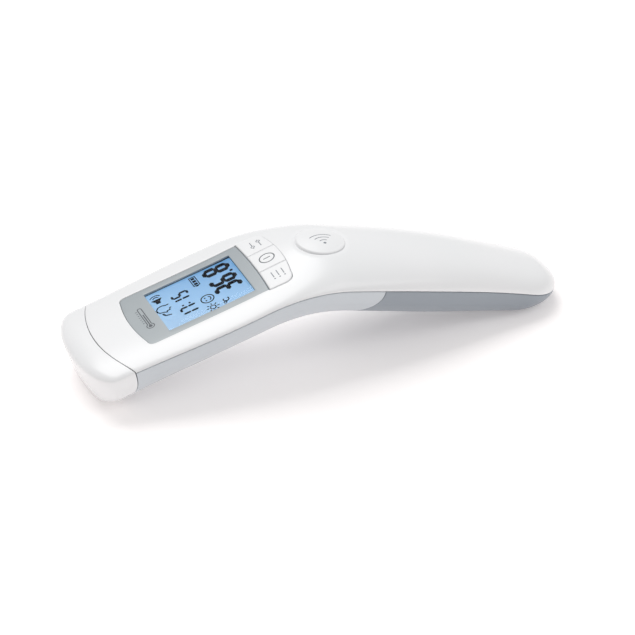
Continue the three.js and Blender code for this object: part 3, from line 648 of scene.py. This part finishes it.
def cap_shell():
    """A cup over the tip, as rings from its tip to the seam, outside and inside."""
    halves = []
    for is_top in (True, False):
        across = np.cos(np.linspace(0, np.pi, 61))
        halves.append((is_top, across if is_top else across[::-1]))
    around = [(is_top, c) for is_top, half in halves for c in half[:-1]]
    is_top = np.array([a[0] for a in around])
    across = np.array([a[1] for a in around])
    y = across * CAP["half"]
    back = CAP_SEAM["front"] - SEAM + CAP_SEAM["radius"] - np.sqrt(CAP_SEAM["radius"] ** 2 - y**2)
    shares = np.linspace(0.02, 1, 40) ** 2

    def ring(s, depth):
        upper = surface(s, across, depth, True)
        lower = surface(s, across, depth, False)
        points = np.where(is_top[:, None], upper, lower)
        points[:, 2] = np.maximum(points[:, 2], 0)
        return points

    rings = [ring((back - SHELL_FILLET) * share, 0) for share in shares]
    for share in FILLET_STEPS[-2::-1]:
        drop = SHELL_FILLET * (1 - math.sqrt(1 - (1 - share) ** 2))
        rings.append(ring(back - SHELL_FILLET * share, drop))
    rings += [ring((back - 0.02) * share, CAP["wall"]) for share in shares[::-1]]
    count = len(around)
    points = np.vstack([*rings, rings[0].mean(0), rings[-1].mean(0)])
    faces = []
    for r in range(len(rings) - 1):
        for i in range(count):
            j = (i + 1) % count
            faces.append((r * count + i, r * count + j, (r + 1) * count + j, (r + 1) * count + i))
    last = (len(rings) - 1) * count
    for i in range(count):
        j = (i + 1) % count
        faces.append((len(points) - 2, j, i))
        faces.append((len(points) - 1, last + i, last + j))
    return new_object("cap_shell", points, faces, gloss_white)


add(cap_shell(), "cap", ["sensor_cap"])

# --- Display window, keys and scan button ---

border = shell("window_border", top, bowed_rectangle(WINDOW), silver_film, [bowed_rectangle(VIEW, 0.02)],
               top_at=BORDER["top"], bottom_at=BORDER["bottom"], fillet=0.1, step=1.5)
add(border, "casing", ["window_frame"])
lens = shell("lens_plate", top, bowed_rectangle(VIEW, -0.04), clear_lens,
             top_at=LENS["top"], bottom_at=LENS["bottom"], fillet=0.05, step=2)
add(lens, "casing", ["display_lens"])

key_spans = [
    ("key_far", "left_key", "key_left", KEY_SPLIT + KEY_GAP, FAR),
    ("key_middle", "power_key", "key_power", -KEY_SPLIT + KEY_GAP, KEY_SPLIT - KEY_GAP),
    ("key_near", "right_key", "key_right", -FAR, -KEY_SPLIT - KEY_GAP),
]
for name, body, node, low, high in key_spans:
    plan = bowed_rectangle(KEYS, 0, low=low, high=high)
    key = shell(name, top, plan, key_white, top_at=-KEY_HEIGHT, bottom_at=2, fillet=0.3, step=0.9)
    add(key, body, [node])


def dome_height(reach, along):
    """The scan button's height over the spine, where reach is 1 at its rim. It tilts as the body does."""
    crest = SCAN_TOP + SCAN["height"] - SCAN["dome"] + SCAN["tilt"] * along
    return crest + SCAN["dome"] * np.sqrt(1 - (reach / SCAN["spread"]) ** 2)


def local_place(at, x, y, height):
    """Points given in the straight frame of one place on the spine."""
    middle_x, middle_z, slope = (float(v) for v in spine(np.array(float(at))))
    x, y, height = np.broadcast_arrays(x, y, height)
    return np.stack([
        middle_x + x * math.cos(slope) - height * math.sin(slope), y,
        middle_z + x * math.sin(slope) + height * math.cos(slope),
    ], -1)


def scan_button():
    """A domed oval cap with a rounded edge, closed below."""
    turn = np.linspace(0, 2 * np.pi, 96, endpoint=False)
    rim = SCAN_EDGE["width"]
    profile = [(reach, float(dome_height(reach, 0))) for reach in np.linspace(0.04, 1 - rim, 16)]
    edge = profile[-1][1]
    for angle in np.linspace(0, np.pi / 2, 8)[1:]:
        profile.append((1 - rim + rim * math.sin(angle), edge - SCAN_EDGE["drop"] * (1 - math.cos(angle))))
    profile += [(1, SCAN_EDGE["underside"]), (0.04, SCAN_EDGE["underside"])]
    points = []
    for reach, height in profile:
        along, across = SCAN["along"] * reach * np.cos(turn), SCAN["across"] * reach * np.sin(turn)
        points.append(local_place(SCAN["at"], along, across, height + SCAN["tilt"] * along))
    count = len(turn)
    rings = len(points)
    faces = []
    for r in range(rings - 1):
        for i in range(count):
            j = (i + 1) % count
            faces.append((r * count + i, (r + 1) * count + i, (r + 1) * count + j, r * count + j))
    faces.append(tuple(range(count)))
    faces.append(tuple(range(rings * count - 1, (rings - 1) * count - 1, -1)))
    return new_object("scan_dome", np.vstack(points), faces, key_white)


add(scan_button(), "scan", ["scan_button"])

# --- Flat marks: the display's segments and the printed signs ---


class Marks:
    """Thin closed plates in one piece.

    Points are [right, down] as the user reads them, which is [across, along] on the body.
    """

    def __init__(self, at):
        self.at = at
        self.points = []
        self.faces = []

    def add_strip(self, left, right, closed):
        count = len(left)
        start = sum(len(block) for block in self.points)
        rows = [self.at(left, 1), self.at(right, 1), self.at(left, 0), self.at(right, 0)]
        self.points.append(np.vstack(rows))
        top_left, top_right, low_left, low_right = (start + count * k for k in range(4))
        for i in range(count if closed else count - 1):
            j = (i + 1) % count
            self.faces.append((top_left + i, top_right + i, top_right + j, top_left + j))
            self.faces.append((low_left + j, low_right + j, low_right + i, low_left + i))
            self.faces.append((top_left + j, low_left + j, low_left + i, top_left + i))
            self.faces.append((top_right + i, low_right + i, low_right + j, top_right + j))
        if not closed:
            last = count - 1
            self.faces.append((top_left, low_left, low_right, top_right))
            self.faces.append((top_right + last, low_right + last, low_left + last, top_left + last))

    def line(self, points, width, closed=False):
        """A ribbon along a line."""
        points = np.array(points, float)
        ahead = np.roll(points, -1, 0) - points
        behind = points - np.roll(points, 1, 0)
        if not closed:
            ahead[-1], behind[0] = behind[-1], ahead[0]
        ahead /= np.linalg.norm(ahead, axis=1)[:, None]
        behind /= np.linalg.norm(behind, axis=1)[:, None]
        sides = [np.column_stack([-step[:, 1], step[:, 0]]) for step in (ahead, behind)]
        miter = (sides[0] + sides[1]) / np.maximum(1 + np.sum(sides[0] * sides[1], 1), 0.5)[:, None]
        self.add_strip(points + miter * width / 2, points - miter * width / 2, closed)

    def arc(self, middle, radius, start, end, width):
        """An arc between two angles in degrees, or a ring."""
        whole = abs(end - start) >= 360
        count = max(8, int(abs(end - start) * (0.5 + radius) / 30))
        turn = np.radians(np.linspace(start, end, count, endpoint=not whole))
        curve = np.column_stack([middle[0] + radius * np.cos(turn), middle[1] + radius * np.sin(turn)])
        self.line(curve, width, whole)

    def fill(self, outline):
        """A filled convex outline."""
        outline = np.array(outline, float)
        right, down = outline.T
        if np.sum(right * np.roll(down, -1) - np.roll(right, -1) * down) > 0:
            outline = outline[::-1]
        count = len(outline)
        start = sum(len(block) for block in self.points)
        self.points.append(np.vstack([self.at(outline, 1), self.at(outline, 0)]))
        self.faces.append(tuple(start + i for i in range(count)))
        self.faces.append(tuple(start + count + i for i in range(count - 1, -1, -1)))
        for i in range(count):
            j = (i + 1) % count
            self.faces.append((start + j, start + i, start + count + i, start + count + j))

    def dot(self, middle, radius):
        self.fill(ellipse(middle, radius, radius, 14))

    def box(self, left, top, right, bottom):
        self.fill([(left, top), (right, top), (right, bottom), (left, bottom)])

    def digit(self, figure, left, top, width, height, thick):
        """A seven-segment figure."""
        half, gap = thick / 2, thick * 0.06
        x0, x1 = left + half, left + width - half
        y0, y1, y2 = top + half, top + height / 2, top + height - half
        segments = {
            "a": ((x0, y0), (x1, y0)), "g": ((x0, y1), (x1, y1)), "d": ((x0, y2), (x1, y2)),
            "f": ((x0, y0), (x0, y1)), "b": ((x1, y0), (x1, y1)),
            "e": ((x0, y1), (x0, y2)), "c": ((x1, y1), (x1, y2)),
        }
        for key in FIGURES[figure]:
            start, end = (np.array(point) for point in segments[key])
            along = (end - start) / np.linalg.norm(end - start)
            side = np.array([-along[1], along[0]]) * half
            start, end = start + along * gap, end - along * gap
            slant = along * half * 0.85
            self.fill([start, start + slant + side, end - slant + side,
                       end, end - slant - side, start + slant - side])

    def finish(self, name, material):
        return new_object(name, np.vstack(self.points), self.faces, material)


FIGURES = {"1": "bc", "3": "abgcd", "5": "afgcd", "6": "afgecd", "7": "abc", "8": "abcdefg"}


def on_display(points, layer):
    """Points on the display panel's face."""
    return place(points[:, 1], points[:, 0], PANEL["top"] + 0.02 + 0.06 * layer)


def on_top(height):
    """Points printed on the top surface, at a height over it."""

    def at(points, layer):
        depth = -height - PRINT["over"] * layer + PRINT["under"] * (1 - layer)
        return top.point(points[:, 1], points[:, 0], depth)

    return at


def on_button(points, layer):
    """Points printed on the scan button's dome."""
    along = (points[:, 1] - SCAN["at"]) * stretch
    reach = np.hypot(along / SCAN["along"], points[:, 0] / SCAN["across"])
    height = dome_height(reach, along) + PRINT["over"] * layer - PRINT["under"] * (1 - layer)
    return local_place(SCAN["at"], along, points[:, 0], height)


def display_segments():
    """A sample reading, a time and plain signs."""
    marks = Marks(on_display)
    for figure, left in (("3", -4.3), ("6", 0.1), ("8", 5.9)):
        marks.digit(figure, left, 45.8, 4.0, 8.7, 1.4)
    marks.dot((4.85, 53.9), 0.5)
    for figure, left in (("1", -7.5), ("7", -4.6), ("1", 0.0), ("5", 3.1)):
        marks.digit(figure, left, 34.1, 2.35, 5.5, 0.72)
    marks.dot((-1.3, 35.8), 0.34)
    marks.dot((-1.3, 37.9), 0.34)
    marks.arc((-8.6, 46.6), 0.42, 0, 360, 0.26)
    marks.arc((-7.3, 47.3), 0.85, 45, 315, 0.36)
    # A smiling face
    marks.arc((-3.3, 42.9), 1.95, 0, 360, 0.34)
    marks.arc((-3.3, 42.9), 1.05, 25, 155, 0.3)
    marks.dot((-4.0, 42.3), 0.26)
    marks.dot((-2.6, 42.3), 0.26)
    # A lamp with rays
    marks.arc((-8.2, 42.8), 0.85, 0, 360, 0.32)
    for turn in np.radians(np.arange(0, 360, 45)):
        ray = np.array([np.cos(turn), np.sin(turn)])
        marks.line([np.array([-8.2, 42.8]) + ray * 1.3, np.array([-8.2, 42.8]) + ray * 2.0], 0.3)
    # A battery with three bars
    marks.line([(5.0, 41.9), (9.6, 41.9), (9.6, 43.8), (5.0, 43.8)], 0.26, True)
    marks.box(4.45, 42.45, 4.87, 43.25)
    for left in (5.45, 6.85, 8.25):
        marks.box(left, 42.3, left + 0.95, 43.4)
    # A speaker with two waves
    marks.box(4.7, 29.7, 5.7, 31.1)
    marks.fill([(5.7, 29.7), (7.0, 28.7), (7.0, 32.1), (5.7, 31.1)])
    marks.arc((6.9, 30.4), 1.2, -50, 50, 0.3)
    marks.arc((6.9, 30.4), 2.1, -50, 50, 0.3)
    # A forehead with a wand in front of it
    head = [
        (2.6, 32.6), (2.5, 31.6), (3.0, 30.6), (2.8, 29.3), (1.9, 28.5), (0.8, 28.4), (-0.1, 29.0),
        (-0.3, 29.9), (-0.9, 30.9), (-0.3, 31.1), (-0.3, 32.0), (0.6, 32.2), (0.7, 32.7),
    ]
    marks.line(head, 0.34)
    marks.line([(-1.0, 29.4), (-2.2, 29.9)], 0.55)
    marks.line([(-2.2, 29.9), (-2.8, 31.6)], 0.4)
    return marks.finish("display_segments", crystal_dark)


add(display_segments(), "casing")
# A dark ring under the window border, round the view, is painted shade: it stands for the shadow along the
# display's recessed far and key-side edges.
painted_shade_ring = shell("display_painted_shade", top, bowed_rectangle(VIEW, 0.9), chip, [bowed_rectangle(VIEW, 0.05)],
               top_at=PAINTED_SHADE_RING["top"], bottom_at=PAINTED_SHADE_RING["bottom"], fillet=0.04, step=2)
add(painted_shade_ring, "casing")


def power_sign():
    """A ring with a stroke in it."""
    marks = Marks(on_top(KEY_HEIGHT))
    marks.arc((0, 63.5), 2.1, 0, 360, 0.32)
    marks.line([(0, 62.5), (0, 63.5), (0, 64.5)], 0.3)
    return marks.finish("power_sign", print_dark)


def list_sign():
    """Three short lines with bullets, for stored readings."""
    marks = Marks(on_top(KEY_HEIGHT))
    for along in (61.9, 63.4, 64.9):
        marks.dot((-10.6, along), 0.24)
        marks.line([(-9.9, along), (-8.6, along), (-7.3, along)], 0.26)
    return marks.finish("list_sign", print_grey)


def settings_sign():
    """Two sliders, for settings."""
    marks = Marks(on_top(KEY_HEIGHT))
    for along, knob in ((62.4, 8.2), (64.6, 10.1)):
        marks.line([(7.2, along), (knob - 0.6, along)], 0.26)
        marks.line([(knob + 0.6, along), (11.0, along)], 0.26)
        marks.arc((knob, along), 0.5, 0, 360, 0.26)
    return marks.finish("settings_sign", print_grey)


def scan_sign():
    """A source and three widening waves."""
    marks = Marks(on_button)
    marks.dot((-3.1, SCAN["at"]), 0.42)
    for radius in (1.6, 3.2, 4.8):
        marks.arc((-3.1, SCAN["at"]), radius, -38, 38, 0.3)
    return marks.finish("scan_sign", print_grey)


def thermometer_sign():
    """A thermometer lying across the frame, with its scale beside it."""
    marks = Marks(on_top(-0.2))
    middle = 24.2
    marks.arc((-4.9, middle), 1.15, 32, 328, 0.3)
    marks.line([(-3.95, middle - 0.6), (0, middle - 0.6), (4.6, middle - 0.6)], 0.3)
    marks.line([(-3.95, middle + 0.6), (0, middle + 0.6), (4.6, middle + 0.6)], 0.3)
    marks.arc((4.6, middle), 0.6, -90, 90, 0.3)
    marks.dot((-4.9, middle), 0.6)
    marks.line([(-4.6, middle), (-1.5, middle), (1.6, middle)], 0.36)
    for across in np.arange(-2.6, 4.3, 1.1):
        marks.line([(across, middle - 1.05), (across, middle - 1.55)], 0.24)
    return marks.finish("thermometer_sign", print_dark)


add(power_sign(), "power_key")
add(list_sign(), "right_key")
add(settings_sign(), "left_key")
add(scan_sign(), "scan")
add(thermometer_sign(), "casing")

# --- The battery bay's walls, seen when the cover is off ---


def liner_height(s, y):
    """The height of the inside of the lower casing."""
    width, _, _, depth = section(s, 1.9)
    share = np.clip(np.abs(y) / np.maximum(width, 1e-6), 0, 1)
    return -depth * (1 - share**BELLY_POWER) ** (1 / BELLY_ROOT)


def fence(stations):
    """A closed wall through stations of [(s, y) of each face, bottom height]."""
    rings = []
    for (first, second), bottom in stations:
        s, y = np.array([first, second, second, first], float).T
        rings.append(place(s, y, np.array([BAY["top"], BAY["top"], bottom, bottom])))
    faces = [(0, 1, 2, 3)]
    for r in range(len(rings) - 1):
        for i in range(4):
            j = (i + 1) % 4
            faces.append((r * 4 + i, (r + 1) * 4 + i, (r + 1) * 4 + j, r * 4 + j))
    last = (len(rings) - 1) * 4
    faces.append((last + 3, last + 2, last + 1, last))
    return np.vstack(rings), faces


def lathe(at, y, profile, count=32):
    """A closed ring round an upright axis, from a closed profile of [radius, height] points."""
    turn = np.linspace(0, 2 * np.pi, count, endpoint=False)
    points = [
        local_place(at, radius * np.cos(turn), y + radius * np.sin(turn), height)
        for radius, height in profile
    ]
    faces = []
    for r in range(len(profile)):
        below = (r + 1) % len(profile)
        for i in range(count):
            j = (i + 1) % count
            faces.append((r * count + i, below * count + i, below * count + j, r * count + j))
    return np.vstack(points), faces


def battery_bay():
    """The bay's side and end walls, the rib between the cells and the two screw posts."""
    post = [
        (BAY_POST["counterbore"], BAY_POST["low"]), (BAY_POST["outer"], BAY_POST["low"]),
        (BAY_POST["outer"], BAY_POST["top"]), (BAY_POST["hole"], BAY_POST["top"]),
        (BAY_POST["hole"], BAY_POST["seat"]), (BAY_POST["counterbore"], BAY_POST["seat"]),
    ]
    blocks = []
    low, high = BAY["at"] - BAY["half"], BAY["at"] + BAY["half"]
    for side in (1, -1):
        stations = []
        for s in np.linspace(low, high, 25):
            bottom = float(liner_height(np.array(s), BAY["outer"]))
            faces = [(s, side * BAY["inner"]), (s, side * BAY["outer"])]
            stations.append((faces[::side], bottom))
        blocks.append(fence(stations))
        blocks.append(lathe(BAY_POST["at"], side * BAY_POST["y"], post))
    for start in (low, high - BAY["end"]):
        stations = []
        for y in np.linspace(-BAY["inner"] + 0.01, BAY["inner"] - 0.01, 21):
            bottom = float(liner_height(np.array(start + BAY["end"]), y))
            stations.append(([(start + BAY["end"], y), (start, y)], bottom))
        blocks.append(fence(stations))
    rib = np.linspace(low + BAY["end"] + 0.01, high - BAY["end"] - 0.01, 15)
    blocks.append(fence([([(s, -0.6), (s, 0.6)], 1.4) for s in rib]))
    points, faces = [], []
    for block_points, block_faces in blocks:
        start = sum(len(block) for block in points)
        points.append(block_points)
        faces += [tuple(start + i for i in face) for face in block_faces]
    return new_object("battery_bay", np.vstack(points), faces, pale_grey)


add(battery_bay(), "casing")
lip_front = {"front": COVER_SEAM["front"] - 2, "radius": COVER_SEAM["radius"]}
lip_back = {"front": COVER_SEAM["front"] + 4, "radius": COVER_SEAM["radius"]}
lip = shell("joint_lip", belly, between(belly, lip_front, lip_back), pale_grey, top_at=1.85, bottom_at=2.9,
            fillet=0.15, step=1.5)
add(lip, "casing")

# --- CAD nodes that stay, with their finishes ---

finishes = {
    "casing_white": gloss_white, "casing_grey": pale_grey, "cover_grey": blue_grey, "key_white": key_white,
    "window_silver": silver_film, "lens_clear": clear_lens, "display_blue": lit_display(),
    "frost_white": frost, "rubber_grey": rubber, "board_green": board, "chip_black": chip,
    "ribbon_amber": amber, "cell_sleeve": sleeve, "steel": steel, "gold_plate": gold,
    "filter_dark": dark_glass,
}
for entry in frame["record"]["subparts"]:
    node = frame["nodes"][entry["node"]]
    for material_slot in node.material_slots:
        material_slot.material = finishes[entry["material_slot"]]

# --- Stage, light and camera ---


def stage_floor():
    """A wide white floor that the thermometer lies on."""
    mesh = bpy.data.meshes.new("floor")
    reach = 6.0
    corners = [(-reach, -reach, 0), (reach, -reach, 0), (reach, reach, 0), (-reach, reach, 0)]
    mesh.from_pydata(corners, [], [(0, 1, 2, 3)])
    floor = bpy.data.objects.new("floor", mesh)
    bpy.context.scene.collection.objects.link(floor)
    white = new_material("floor_white", (0.94, 0.915, 0.91), (0.95, 0.925, 0.92), 0.9, bump=0.0,
                         Emission_Color=(1, 0.95, 0.94, 1), Emission_Strength=0.22)
    mesh.materials.append(white)
    floor.location.z = -0.0001


stage_floor()


LIGHT_TARGET = Vector((0, 0, 0.01))


def soft_light(name, location, size, energy):
    light = bpy.data.lights.new(name, "AREA")
    light.size = size
    light.energy = energy
    lamp = bpy.data.objects.new(name, light)
    lamp.location = location
    lamp.rotation_euler = (LIGHT_TARGET - Vector(location)).to_track_quat("-Z", "Y").to_euler()
    bpy.context.scene.collection.objects.link(lamp)


soft_light("key_light", (-0.12, 0.66, 1.2), 1.0, 10.5)
soft_light("fill_light", (0.8, -0.8, 1.1), 0.8, 3.5)

world = bpy.data.worlds.new("studio")
bpy.context.scene.world = world
world.use_nodes = True
world.node_tree.nodes["Background"].inputs["Color"].default_value = (1, 1, 1, 1)
world.node_tree.nodes["Background"].inputs["Strength"].default_value = 0.52
bpy.context.scene.view_settings.view_transform = "Standard"

CAMERA = {"turn": math.radians(22.48), "rise": math.radians(31.16), "distance": 1.2687, "lens": 242.4}
back = Vector((-math.sin(CAMERA["turn"]) * math.cos(CAMERA["rise"]),
               -math.cos(CAMERA["turn"]) * math.cos(CAMERA["rise"]), math.sin(CAMERA["rise"])))
right = Vector((math.cos(CAMERA["turn"]), -math.sin(CAMERA["turn"]), 0))
up = back.cross(right)
target = Vector((0.00208, 0, 0)) - 0.00139 * right + 0.00559 * up
camera = bpy.data.objects.new("camera", bpy.data.cameras.new("camera"))
camera.data.lens = CAMERA["lens"]
bpy.context.scene.collection.objects.link(camera)
axes = Matrix((right, up, back)).transposed().to_4x4()
camera.matrix_world = Matrix.Translation(target + CAMERA["distance"] * back) @ axes
bpy.context.scene.camera = camera
